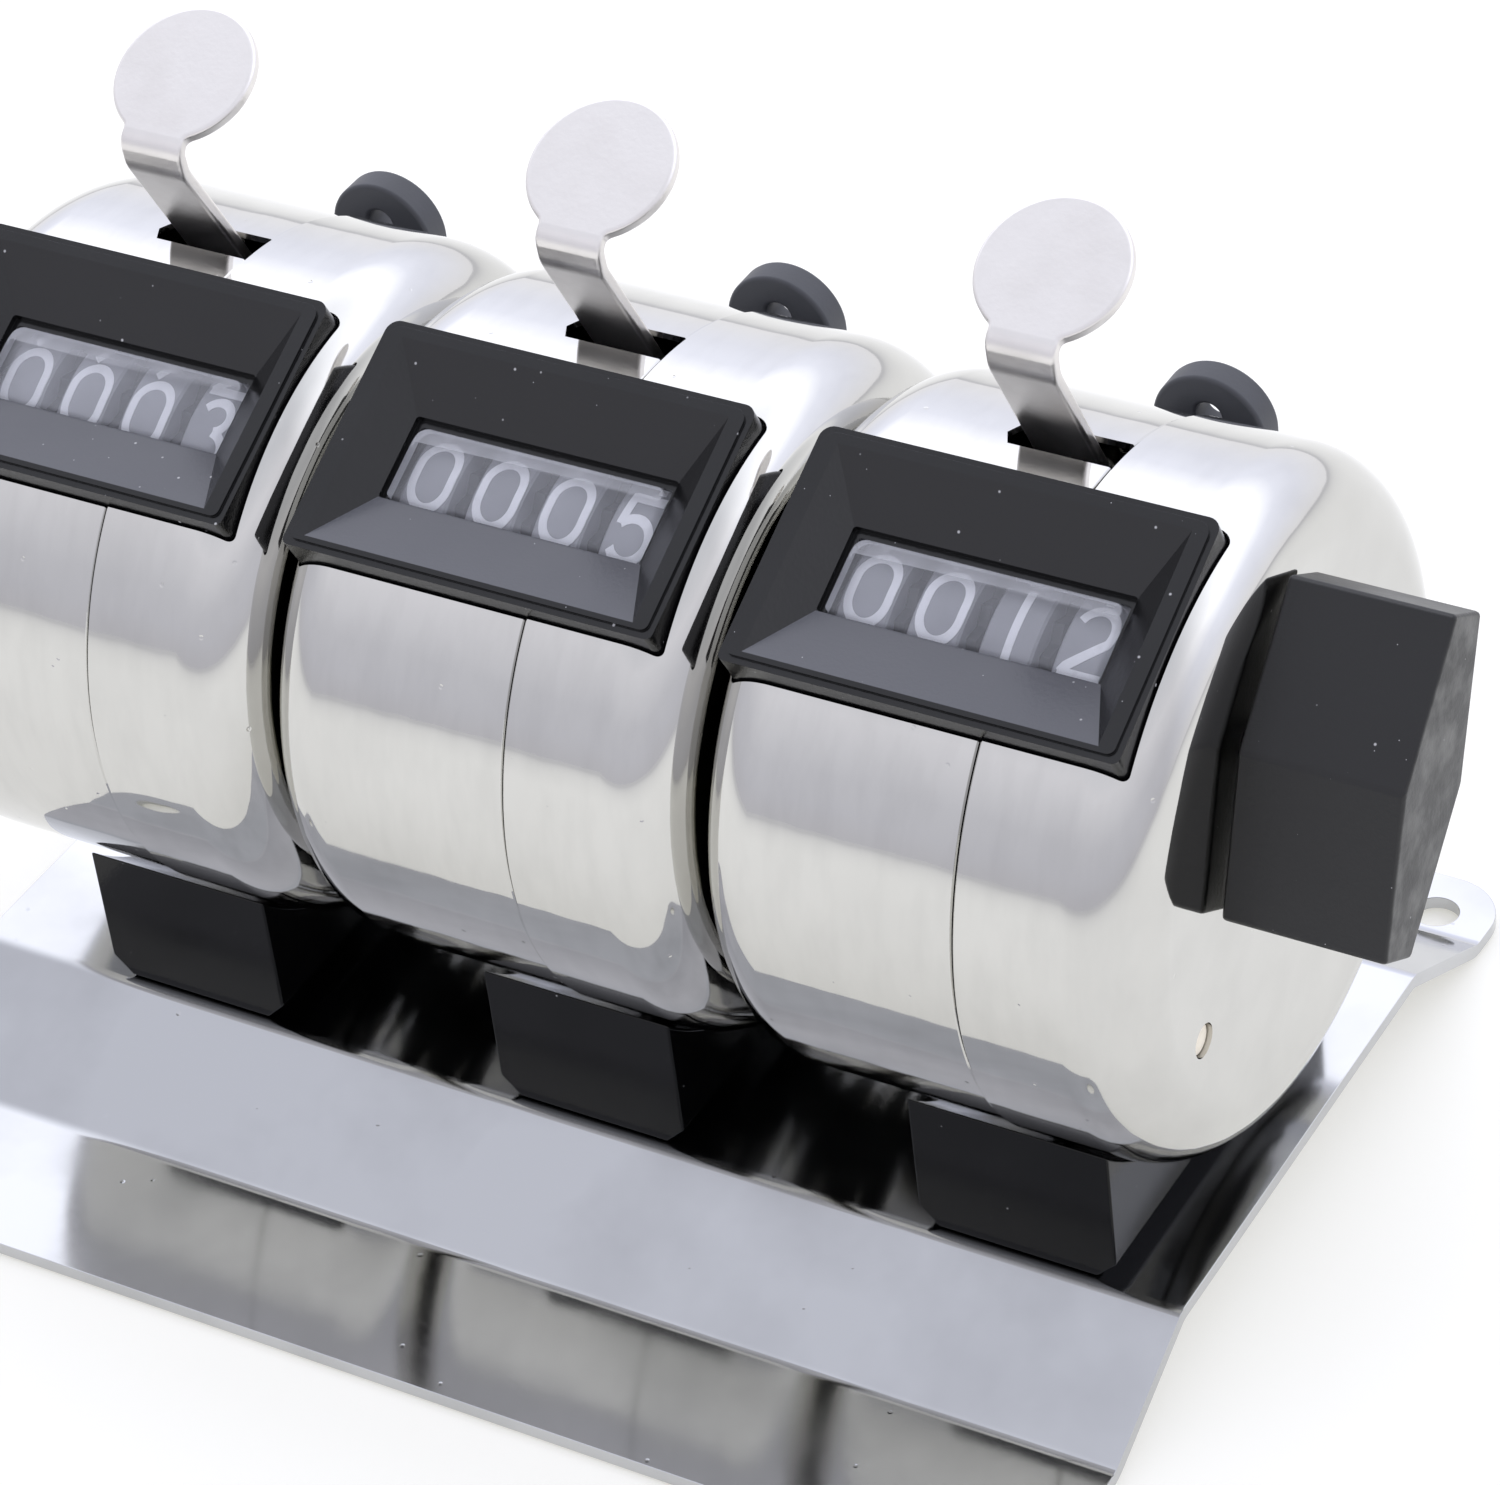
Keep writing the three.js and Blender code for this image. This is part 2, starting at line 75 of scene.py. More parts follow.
FACE_TILT = math.radians(26.7)
FACE_HEIGHT = 22.87
BEZEL = {"x": 13.45, "back": 8.3, "front": -8.3, "floor": 18.9}
BEZEL_CORNERS = (0.9, 0.9, 0.5, 0.5)
BEZEL_STEP = {"in": 0.45, "down": 0.2}
BEZEL_GAP = 0.15
RIM = {"x": 11.95, "back": 7.15, "front": -7.5}
OPENING = {"x": 9.6, "back": 3.0, "front": -2.95, "z": 20.87}
LEDGE = 20.4
LENS = {"x": 9.1, "back": 2.4, "front": -2.8, "low": 19.9, "high": 21.05}
LENS_GAP = 0.12
LENS_FLANGE = {"x": 10.0, "back": 3.3, "front": -3.5, "low": 19.75, "high": 20.05}
LENS_SEAT = {"x": 10.2, "back": 3.5, "front": -3.7, "low": 19.2, "high": 20.15}
WHEEL_POCKET = {"x": 10.6, "back": 4.5, "front": -4.6, "low": 17.9, "high": 19.7}

WHEEL_AXIS = (-math.sin(FACE_TILT) * 10.8, math.cos(FACE_TILT) * 10.8)
WHEEL_RADIUS = 8.5
WHEEL_PITCH = 4.9
WHEEL_BORE = 1.4
RIM_PROFILE = (
    (-1.95, WHEEL_BORE), (-1.95, 8.35), (-1.8, 8.5), (1.4, 8.5), (1.55, 8.35), (1.55, WHEEL_BORE)
)
GEAR = {"teeth": 20, "tip": 7.6, "root": 6.9, "from": 1.5, "to": 2.25}
DIGIT_TURN = math.radians(36)
RESET_RADIUS = 1.2

LEVER_X = -0.6
LEVER_WIDTH = 4.7
LEVER_SHEET = 0.9
LEVER_PATH = ((9.5, 13.5), (5.67, 17.8), (-0.3, 29.6), (-0.45, 31.4), (4.2, 33.8))
LEVER_BENDS = (2.0, 2.4, 1.0)
PAD_RADIUS = 5.0
PAD_FILLET = 0.55
PIVOT, KNEE = LEVER_PATH[:2]
PIN_HOLE = 1.15
CARRIER_RIGHT = 11.0
CARRIER_CHEEK = ((4.6, 12.0), (5.0, 15.6), KNEE, (8.6, 15.2), (10.6, 12.6), (8.8, 11.7))
CARRIER_WEB = ((9.9, 14.1), (6.6, 17.8), (5.7, 16.9), (9.0, 13.2))
CARRIER_BAR = ((6.5, 17.9), (5.3, 17.4), (6.2, 16.3), (7.4, 16.9))
PAWL_PIVOT = (6.3, 13.0)
SLOT = ((5.2, 1.15), (5.2, 4.3), (-3.05, 4.2), (-3.65, 2.3), (-3.05, 1.15))

LUG = {"x": 0.4, "radius": 4.0, "foot": 7.4, "front": 20.4, "back": 22.6, "height": 11.85}
LUG_EYE = {"height": 12.9, "radius": 0.95}
LUG_ARM = ((14, -1), (16.5, -1), (22.1, 7.45), (22.1, 8.1), (20.5, 8.1), (14, 2.2))
LUG_SLOT = ((20.05, 3.61), (22.55, 7.29), (24, 9), (24, 12.5), (20.05, 12.5))
FRAME_PLATE = (
    (-17, -6), (-13, 9), (-7, 14), (3, 16.5), (12, 16), (16.5, 10), (17, -6), (9, -18), (-9, -18)
)
FRAME_LEFT = (-12.3, -11.2)
FRAME_RIGHT = (11.6, 12.8)
FRAME_SPAN = (-12.0, 12.5)
SIDE_HOLE = (-14.2, -6.4)
SIDE_HOLE_RADIUS = 1.15
SIDE_PIN = {"radius": 1.1, "from": 14.7, "below": 0.32}
PLATFORM_DROP = 26.5
FOOT = {"left": -3.9, "right": 10.2, "front": -16.9, "back": 13.0}
FOOT_GAP = 0.5
FOOT_CHAMFER = 1.4
SCREW_PROFILE = (
    (-1.15, 0.0), (-1.15, 1.9), (-0.85, 2.5), (-0.45, 2.7), (0.0, 2.7),
    (0.0, 1.25), (11.7, 1.25), (12.1, 0.9), (12.1, 0.0),
)
SHEET = 1.0
BASE_HALF = 46.5
PLATFORM_HALF = 17.3
SLOPE_FOOT = 27.1
FRONT_EDGE = -38.5
REAR_EDGE = 33.6
FLANGE_LEAN = 0.35
BASE_BENDS = (2.8, 1.6, 1.6, 2.8)
CORNER = {"radius": 4.2, "hole": 1.6, "inset": 4.1}
KNOB = {"gap": 0.55, "length": 10.8, "span": 10.6, "end": 2.05, "middle": 4.6, "bore": 1.4, "depth": 7.4}
KNOB_LEAN = math.radians(31.8)

# ---------- camera ----------
camera_data = bpy.data.cameras.new("camera")
camera_data.sensor_width = 36
camera_data.lens = 134.47
camera_data.clip_start = 0.01
camera = bpy.data.objects.new("camera", camera_data)
scene.collection.objects.link(camera)
view = Matrix(((0.8636, -0.2365, 0.4452), (0.4940, 0.5729, -0.6540), (-0.1004, 0.7847, 0.6116)))
camera.matrix_world = Matrix.Translation((0.16393, -0.23604, 0.25012)) @ view.to_4x4()
scene.camera = camera
scene.view_settings.view_transform = "Standard"


# ---------- materials ----------
class Look:
    """A Principled material whose variation comes from noise in the object's own coordinates."""

    def __init__(self, name, color, metallic=0.0, roughness=0.5, **sockets):
        self.material = bpy.data.materials.new(name)
        self.material.use_nodes = True
        self.tree = self.material.node_tree
        self.shader = self.tree.nodes["Principled BSDF"]
        self.shader.inputs["Base Color"].default_value = (*color, 1)
        self.shader.inputs["Metallic"].default_value = metallic
        self.shader.inputs["Roughness"].default_value = roughness
        for socket, value in sockets.items():
            self.shader.inputs[socket.replace("_", " ")].default_value = value
        self.coords = self.tree.nodes.new("ShaderNodeTexCoord").outputs["Object"]
        self.color = color

    def link(self, output, socket):
        self.tree.links.new(output, socket)

    def placed(self, stretch):
        mapping = self.tree.nodes.new("ShaderNodeMapping")
        mapping.inputs["Scale"].default_value = stretch
        self.link(self.coords, mapping.inputs["Vector"])
        return mapping.outputs["Vector"]

    def noise(self, scale, detail=3, stretch=(1, 1, 1)):
        node = self.tree.nodes.new("ShaderNodeTexNoise")
        node.inputs["Scale"].default_value = scale
        node.inputs["Detail"].default_value = detail
        self.link(self.placed(stretch), node.inputs["Vector"])
        return node.outputs["Fac"]

    def specks(self, scale, size):
        """1 in small round spots, one at the middle of each cell, 0 elsewhere."""
        node = self.tree.nodes.new("ShaderNodeTexVoronoi")
        node.inputs["Scale"].default_value = scale
        self.link(self.coords, node.inputs["Vector"])
        return self.remap(node.outputs["Distance"], size, size * 0.5, 0, 1)

    def remap(self, output, from_low, from_high, to_low, to_high):
        node = self.tree.nodes.new("ShaderNodeMapRange")
        limits = {"From Min": from_low, "From Max": from_high, "To Min": to_low, "To Max": to_high}
        for socket, value in limits.items():
            node.inputs[socket].default_value = value
        self.link(output, node.inputs["Value"])
        return node.outputs["Result"]

    def calculate(self, operation, first, second):
        node = self.tree.nodes.new("ShaderNodeMath")
        node.operation = operation
        for socket, value in zip(node.inputs, (first, second)):
            if isinstance(value, (int, float)):
                socket.default_value = value
            else:
                self.link(value, socket)
        return node.outputs[0]

    def turned(self, axis, low, high):
        """1 on the surfaces that face along an axis, 0 where they lean away from it."""
        split = self.tree.nodes.new("ShaderNodeSeparateXYZ")
        self.link(self.tree.nodes.new("ShaderNodeNewGeometry").outputs["Normal"], split.inputs[0])
        return self.remap(split.outputs[axis], low, high, 0, 1)

    def tint(self, factor, other):
        """Mixes the base colour towards other by factor."""
        mix = self.tree.nodes.new("ShaderNodeMix")
        mix.data_type = "RGBA"
        base = self.shader.inputs["Base Color"]
        if base.is_linked:
            self.link(base.links[0].from_socket, mix.inputs["A"])
        else:
            mix.inputs["A"].default_value = (*self.color, 1)
        mix.inputs["B"].default_value = (*other, 1)
        self.link(factor, mix.inputs["Factor"])
        self.link(mix.outputs["Result"], base)
        return self

    def rough(self, output):
        self.link(output, self.shader.inputs["Roughness"])
        return self

    def bump(self, height, distance, strength=1.0):
        node = self.tree.nodes.new("ShaderNodeBump")
        node.inputs["Distance"].default_value = distance
        node.inputs["Strength"].default_value = strength
        self.link(height, node.inputs["Height"])
        normal = self.shader.inputs["Normal"]
        if normal.is_linked:
            self.link(normal.links[0].from_socket, node.inputs["Normal"])
        self.link(node.outputs["Normal"], normal)
        return self


def chrome(name, color, polish, wave, mottle=0.3, wiped=0.0):
    """Plated metal: a mirror with slow waves from the press, haze, fine pits and marks of wiping."""
    look = Look(name, color, metallic=1.0, roughness=polish)
    dulled = tuple(c * 0.8 for c in color)
    haze = look.noise(90, 4)
    look.tint(look.remap(haze, 0.45, 0.75, 0, mottle), dulled)
    if wiped:
        marks = look.noise(650, 5, (1, 0.3, 0.3))
        look.tint(look.remap(marks, 0.42, 0.7, 0, wiped), dulled)
    fine = look.remap(look.noise(1400, 2, (1, 6, 6)), 0.5, 0.8, 0, 0.03)
    look.rough(look.calculate("ADD", look.remap(haze, 0.4, 0.8, polish, polish * 2.2), fine))
    look.bump(look.noise(150, 2), 0.00012 * wave)
    look.bump(look.calculate("MULTIPLY", look.specks(330, 0.06), -1), 0.00002)
    return look.material


DUST = (0.45, 0.45, 0.46)


def moulded(name, color, rough, grain, dust=0.05, shine=0.5, painted_top_sheen=None, scuffed=None):
    """Moulded plastic: fine grain, uneven sheen, specks, a painted sheen that lightens faces pointing up,
    rubbing on the end face.
    """
    look = Look(name, color, roughness=rough, Specular_IOR_Level=shine)
    cloud = look.noise(160, 4)
    look.tint(look.remap(cloud, 0.35, 0.75, 0, 0.5), tuple(c * 1.7 + 0.002 for c in color))
    if painted_top_sheen:
        # painted sheen: faces that point up are tinted lighter, as if they caught more light
        look.tint(look.turned("Z", 0.93, 0.99), painted_top_sheen)
    if scuffed:
        blotches = look.remap(look.noise(520, 5), 0.4, 0.68, 0, 1)
        look.tint(look.calculate("MULTIPLY", look.turned("X", 0.8, 0.95), blotches), scuffed)
    if dust:
        look.tint(look.specks(420, dust), DUST)
        look.tint(look.specks(777, dust * 0.7), DUST)
    look.rough(look.remap(cloud, 0.3, 0.7, rough * 0.85, rough * 1.2))
    look.bump(look.noise(3800, 2), 0.000008 * grain)
    look.bump(cloud, 0.00002 * grain)
    return look.material


def satin_nickel():
    look = Look("satin_nickel", (0.79, 0.765, 0.74), metallic=1.0, roughness=0.33)
    cloud = look.noise(240, 4)
    look.tint(look.remap(cloud, 0.45, 0.8, 0, 0.5), (0.66, 0.635, 0.61))
    look.rough(look.remap(cloud, 0.3, 0.7, 0.29, 0.4))
    look.bump(look.noise(2600, 3), 0.000012)
    look.bump(cloud, 0.00004)
    return look.material


def polished_strip():
    look = Look("polished_strip", (0.72, 0.70, 0.665), metallic=1.0, roughness=0.08)
    streaks = look.noise(900, 3, (8, 0.6, 0.6))
    look.tint(look.remap(look.noise(260, 4), 0.5, 0.75, 0, 0.6), (0.5, 0.47, 0.43))
    look.rough(look.remap(streaks, 0.35, 0.7, 0.16, 0.3))
    look.bump(streaks, 0.000005)
    return look.material


def clear_window():
    """Clear moulding, drawn as a whitish veil of painted reflection over what lies below, thicker on its
    sloping crown as a painted highlight.
    """
    look = Look("clear_window", (0.80, 0.81, 0.86), metallic=0.0, roughness=0.12)
    facing = look.tree.nodes.new("ShaderNodeLayerWeight")
    facing.inputs["Blend"].default_value = 0.35
    cloud = look.noise(260, 3)
    veil = look.remap(cloud, 0.3, 0.7, 0.07, 0.11)
    alpha = look.calculate("ADD", veil, look.calculate("MULTIPLY", facing.outputs["Fresnel"], 0.3))
    # painted highlight: the crown, facing up, gets a thicker white veil
    alpha = look.calculate("ADD", alpha, look.calculate("MULTIPLY", look.turned("Z", 0.905, 0.945), 0.2))
    look.link(alpha, look.shader.inputs["Alpha"])
    look.tint(look.specks(900, 0.05), (1, 1, 1))
    look.bump(look.noise(500, 2), 0.00002)
    return look.material


def painted_white():
    look = Look("numeral_white", (0.86, 0.87, 0.92), roughness=0.5)
    wear = look.noise(1500, 3)
    look.tint(look.remap(wear, 0.55, 0.8, 0, 0.4), (0.6, 0.6, 0.64))
    look.bump(wear, 0.00001)
    return look.material


SHELL = chrome("shell_chrome", (0.612, 0.606, 0.578), 0.035, 0.35, wiped=0.25)
PLATE = chrome("base_chrome", (0.54, 0.545, 0.555), 0.08, 0.12, 0.7)
# the bezel's upward faces carry a painted sheen
BEZEL_BLACK = moulded("bezel_black", (0.003, 0.003, 0.0034), 0.2, 1.0, painted_top_sheen=(0.062, 0.064, 0.078))
KNOB_BLACK = moulded("knob_black", (0.006, 0.006, 0.0065), 0.4, 2.0, scuffed=(0.085, 0.085, 0.08))
FOOT_BLACK = moulded("foot_black", (0.0015, 0.0015, 0.0017), 0.12, 0.4, dust=0.03, shine=0.2)
LUG_BLACK = moulded("lug_black", (0.045, 0.047, 0.055), 0.45, 1.0, dust=0)
INNER_BLACK = moulded("inner_black", (0.012, 0.012, 0.013), 0.6, 1.0, dust=0)
# black wheels, painted grey as a painted reflection of the window over them
WHEEL_PAINTED_REFLECTION = moulded("wheel_black_painted_reflection", (0.24, 0.245, 0.27), 0.4, 0.6, dust=0)
GEAR_GREY = moulded("gear_grey", (0.03, 0.031, 0.036), 0.5, 0.6, dust=0)
NICKEL = satin_nickel()
STRIP = polished_strip()
CLEAR = clear_window()
WHITE = painted_white()
STEEL = chrome("plain_steel", (0.50, 0.49, 0.48), 0.25, 1.0)
BRASS = chrome("plain_brass", (0.62, 0.48, 0.24), 0.25, 1.0)
CREAM = moulded("cream_pin", (0.78, 0.72, 0.60), 0.4, 1.0, dust=0)


# ---------- mesh tools ----------
def build(name, verts, faces):
    mesh = bpy.data.meshes.new(name)
    mesh.from_pydata([tuple(v) for v in verts], [], faces)
    bm = bmesh.new()
    bm.from_mesh(mesh)
    bmesh.ops.remove_doubles(bm, verts=bm.verts, dist=1e-5)
    bmesh.ops.recalc_face_normals(bm, faces=bm.faces)
    bm.to_mesh(mesh)
    bm.free()
    obj = bpy.data.objects.new(name, mesh)
    scene.collection.objects.link(obj)
    return obj


def applied(obj):
    bpy.context.view_layer.update()
    shaped = obj.evaluated_get(bpy.context.evaluated_depsgraph_get())
    mesh = bpy.data.meshes.new_from_object(shaped)
    old = obj.data
    obj.modifiers.clear()
    obj.data = mesh
    bpy.data.meshes.remove(old)
    return obj


def combined(obj, tools, operation):
    for tool in tools:
        modifier = obj.modifiers.new("combine", "BOOLEAN")
        modifier.operation = operation
        modifier.solver = "EXACT"
        modifier.object = tool
        applied(obj)
        bpy.data.objects.remove(tool)
    return obj


def cut(obj, *tools):
    return combined(obj, tools, "DIFFERENCE")


def join(obj, *others):
    return combined(obj, others, "UNION")


def softened(obj, width, segments=3, angle=35):
    """Rounds the edges sharper than angle, and keeps the flats flat in the shading."""
    if width:
        bevel = obj.modifiers.new("bevel", "BEVEL")
        bevel.width = width
        bevel.segments = segments
        bevel.limit_method = "ANGLE"
        bevel.angle_limit = math.radians(angle)
        bevel.miter_outer = "MITER_ARC"
        applied(obj)
    obj.data.shade_smooth()
    obj.data.set_sharp_from_angle(angle=math.radians(40))
    weighted = obj.modifiers.new("weighted", "WEIGHTED_NORMAL")
    weighted.keep_sharp = True
    weighted.weight = 100
    return applied(obj)


AXES = {"x": lambda u, v, w: (w, u, v), "y": lambda u, v, w: (u, w, v), "z": lambda u, v, w: (u, v, w)}


def prism(name, outline, low, high, axis="z"):
    """An outline pushed along an axis: [y, z] along x, [x, z] along y, [x, y] along z."""
    count = len(outline)
    verts = [AXES[axis](u, v, w) for w in (low, high) for u, v in outline]
    sides = [(i, (i + 1) % count, count + (i + 1) % count, count + i) for i in range(count)]
    return build(name, verts, [tuple(range(count)), tuple(range(count, 2 * count)), *sides])


def arc(u, v, radius, start, end, steps, squash=1.0):
    """Points on an arc, angles in degrees."""
    angles = [math.radians(start + (end - start) * i / steps) for i in range(steps + 1)]
    return [(u + radius * math.cos(a), v + squash * radius * math.sin(a)) for a in angles]


def circle(radius, centre=(0, 0), sides=48):
    return arc(*centre, radius, 0, 360, sides)[:-1]


def rounded_rect(x0, x1, y0, y1, radii, steps=6):
    """Radii are for the corners at (x1, y1), (x0, y1), (x0, y0) and (x1, y0)."""
    corners = ((x1, y1, -1, -1, 0), (x0, y1, 1, -1, 90), (x0, y0, 1, 1, 180), (x1, y0, -1, 1, 270))
    points = []
    for (x, y, sx, sy, start), r in zip(corners, radii):
        points += arc(x + sx * r, y + sy * r, r, start, start + 90, steps)
    return points


def lathe(name, profile, sides, axis=(0, 0)):
    """Turns [x, radius] points about a line along X through axis = (y, z)."""
    count = len(profile)
    verts = []
    for i in range(sides):
        a = 2 * math.pi * i / sides
        verts += [(x, axis[0] + r * math.cos(a), axis[1] + r * math.sin(a)) for x, r in profile]
    faces = []
    for i in range(sides):
        j = (i + 1) % sides
        for k in range(count):
            m = (k + 1) % count
            faces.append((i * count + k, i * count + m, j * count + m, j * count + k))
    return build(name, verts, faces)


def bent_line(points, radii, steps):
    """A polyline whose inner corners are arcs."""
    vectors = [Vector(p) for p in points]
    line = [vectors[0]]
    for i, radius in enumerate(radii, 1):
        into = (vectors[i] - vectors[i - 1]).normalized()
        out = (vectors[i + 1] - vectors[i]).normalized()
        turn = math.atan2(into.x * out.y - into.y * out.x, into.dot(out))
        start = vectors[i] - into * radius * math.tan(abs(turn) / 2)
        centre = start + Vector((-into.y, into.x)) * math.copysign(radius, turn)
        for k in range(steps + 1):
            line.append(centre + Matrix.Rotation(turn * k / steps, 2) @ (start - centre))
    return [*line, vectors[-1]]


def tilted(obj):
    """From the window's own frame, +Z out of the glass, to the counter's."""
    obj.data.transform(Matrix.Rotation(FACE_TILT, 4, "X"))
    return obj


def painted(obj, *materials):
    obj.data.materials.clear()
    for material in materials:
        obj.data.materials.append(material)
    return obj


def place(template, name, move, body, slot, *replaced, turn=None):
    """A copy of the template, in metres, moved to its place and riding on its body."""
    mesh = template.data.copy()
    mesh.name = name
    if turn:
        mesh.transform(turn)
    mesh.transform(Matrix.Scale(MM, 4) @ Matrix.Translation(move))
    obj = bpy.data.objects.new(name, mesh)
    scene.collection.objects.link(obj)
    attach(obj, body)
    if replaced:
        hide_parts(*replaced)
    return obj


# ---------- shells ----------
def cup(name, side, rim, radius, rounding):
    """One half of the drum: a closed side, a rounded corner, and a wall that ends at the rim."""
    inward = math.copysign(1, rim - side)
    turned = lambda size, steps: [
        (side + inward * (rounding - size * math.cos(a)), radius - rounding + size * math.sin(a))
        for a in (math.radians(90 * k / steps) for k in range(steps + 1))
    ]
    lip = 0.1
    profile = [(side, 0.0), (side, 0.5 * (radius - rounding)), *turned(rounding, 14)]
    halfway = (side + inward * rounding + rim) / 2
    profile += [(halfway, radius), (rim - inward * lip, radius), (rim, radius - lip)]
    profile += [(rim, radius - WALL), *reversed(turned(rounding - WALL, 8)), (side + inward * WALL, 0.0)]
    return lathe(name, profile, DRUM_SIDES)


def shell_normals(obj, side, rim, radius, rounding):
    """The outer skin shades as the true turned surface, whatever was cut from it."""
    mesh = obj.data
    inward = math.copysign(1, rim - side)
    mesh.shade_smooth()
    mesh.set_sharp_from_angle(angle=math.radians(30))
    normals = [n.vector.copy() for n in mesh.corner_normals]
    for polygon in mesh.polygons:
        x, y, z = polygon.center
        reach = math.hypot(y, z)
        depth = inward * (x - side)
        if depth < rounding and reach > radius - rounding:
            skin = math.hypot(rounding - depth, reach - radius + rounding) - rounding
        elif depth < rounding:
            skin = -depth
        else:
            skin = reach - radius
        if abs(skin) > 0.06:
            continue
        for index in polygon.loop_indices:
            co = mesh.vertices[mesh.loops[index].vertex_index].co
            away = math.hypot(co.y, co.z)
            along = inward * (co.x - side)
            across = max(away - (radius - rounding), 0.0)
            lean = max(rounding - along, 0.0)
            size = math.hypot(across, lean)
            if size < 1e-6 or away < 1e-6:
                normals[index] = Vector((-inward, 0, 0))
                continue
            radial = Vector((0, co.y, co.z)) / away
            normals[index] = (radial * across - Vector((inward, 0, 0)) * lean) / size
            if normals[index].dot(polygon.normal) < 0.8:
                normals[index] = polygon.normal.copy()
    mesh.normals_split_custom_set([tuple(n) for n in normals])
    return obj


def bezel_outline(inset):
    across = BEZEL["x"] - inset
    return rounded_rect(-across, across, BEZEL["front"] + inset, BEZEL["back"] - inset, BEZEL_CORNERS)


def aperture():
    return tilted(prism("aperture", bezel_outline(-BEZEL_GAP), BEZEL["floor"] - 5, FACE_HEIGHT + 5))


def lug_slot():
    reach = LUG["radius"] + 0.45
    return prism("lug_slot", LUG_SLOT, LUG["x"] - reach, LUG["x"] + reach, "x")


def shaft_hole(x):
    return prism("shaft_hole", circle(RESET_RADIUS + 0.5, WHEEL_AXIS, 32), x - 2, x + 2, "x")


def left_shell():
    spec = (DRUM_LEFT, SEAM - SEAM_GAP / 2, DRUM_RADIUS, LEFT_ROUND)
    shell = cup("left_shell", *spec)
    cut(shell, aperture(), lug_slot(), prism("slot", SLOT, 15, 26), shaft_hole(DRUM_LEFT))
    return painted(shell_normals(shell, *spec), SHELL)


def right_shell():
    spec = (DRUM_RIGHT, SEAM + SEAM_GAP / 2, DRUM_RADIUS + DRUM_STEP, RIGHT_ROUND)
    shell = cup("right_shell", *spec)
    side_hole = circle(SIDE_HOLE_RADIUS, SIDE_HOLE)
    cut(shell, aperture(), lug_slot(), prism("side_hole", side_hole, DRUM_RIGHT - 2, DRUM_RIGHT + 2, "x"))
    cut(shell, shaft_hole(DRUM_RIGHT))
    return painted(shell_normals(shell, *spec), SHELL)


# ---------- window ----------
def funnel():
    """The slopes from the opening up to the rim, carried on past the rim for a clean cut."""
    beyond = 1.5
    low, high = OPENING["z"], OPENING["z"] + beyond * (FACE_HEIGHT - OPENING["z"])
    spread = lambda key: OPENING[key] + beyond * (RIM[key] - OPENING[key])
    verts = []
    for x, back, front, z in (
        (OPENING["x"], OPENING["back"], OPENING["front"], low),
        (spread("x"), spread("back"), spread("front"), high),
    ):
        verts += [(-x, front, z), (x, front, z), (x, back, z), (-x, back, z)]
    faces = [(0, 1, 2, 3), (4, 5, 6, 7), (0, 1, 5, 4), (1, 2, 6, 5), (2, 3, 7, 6), (3, 0, 4, 7)]
    return build("funnel", verts, faces)


def well(x, front, back, low, high):
    return prism("well", rounded_rect(-x, x, front, back, (0.2,) * 4, 3), low, high)


def bezel():
    body = prism("bezel", bezel_outline(0), BEZEL["floor"], FACE_HEIGHT - BEZEL_STEP["down"])
    join(body, prism("face", bezel_outline(BEZEL_STEP["in"]), BEZEL["floor"] + 0.5, FACE_HEIGHT))
    cut(
        body,
        funnel(),
        well(OPENING["x"], OPENING["front"], OPENING["back"], LEDGE, OPENING["z"] + 0.3),
        well(LENS["x"] + LENS_GAP, OPENING["front"], LENS["back"] + LENS_GAP, 20.0, LEDGE + 0.1),
        well(**LENS_SEAT),
        well(**WHEEL_POCKET),
    )
    return painted(tilted(softened(body, 0.14, 3, 20)), BEZEL_BLACK)


def lens():
    x, front, back, low, high = (LENS_FLANGE[key] for key in ("x", "front", "back", "low", "high"))
    flange = prism("lens", rounded_rect(-x, x, front, back, (0.3,) * 4, 3), low, high)
    outline = rounded_rect(-LENS["x"], LENS["x"], LENS["front"], LENS["back"], (0.8, 0.8, 0.3, 0.3), 5)
    block = prism("block", outline, LENS["low"], LENS["high"])
    low, high = LENS["low"] - 1, LENS["high"]
    crown = [(-4, low), (4, low), (4, high - 0.65), (2.4, high - 0.22), (1.2, high), (-4, high)]
    combined(block, [prism("crown", crown, -12, 12, "x")], "INTERSECT")
    return painted(tilted(softened(join(flange, block), 0.2, 3, 50)), CLEAR)


# ---------- number wheels ----------
def loop_stroke():
    a, b = 1.3, 1.8
    return [*arc(0, b - a, a, 0, 180, 14), *arc(0, a - b, a, 180, 360, 14)], True


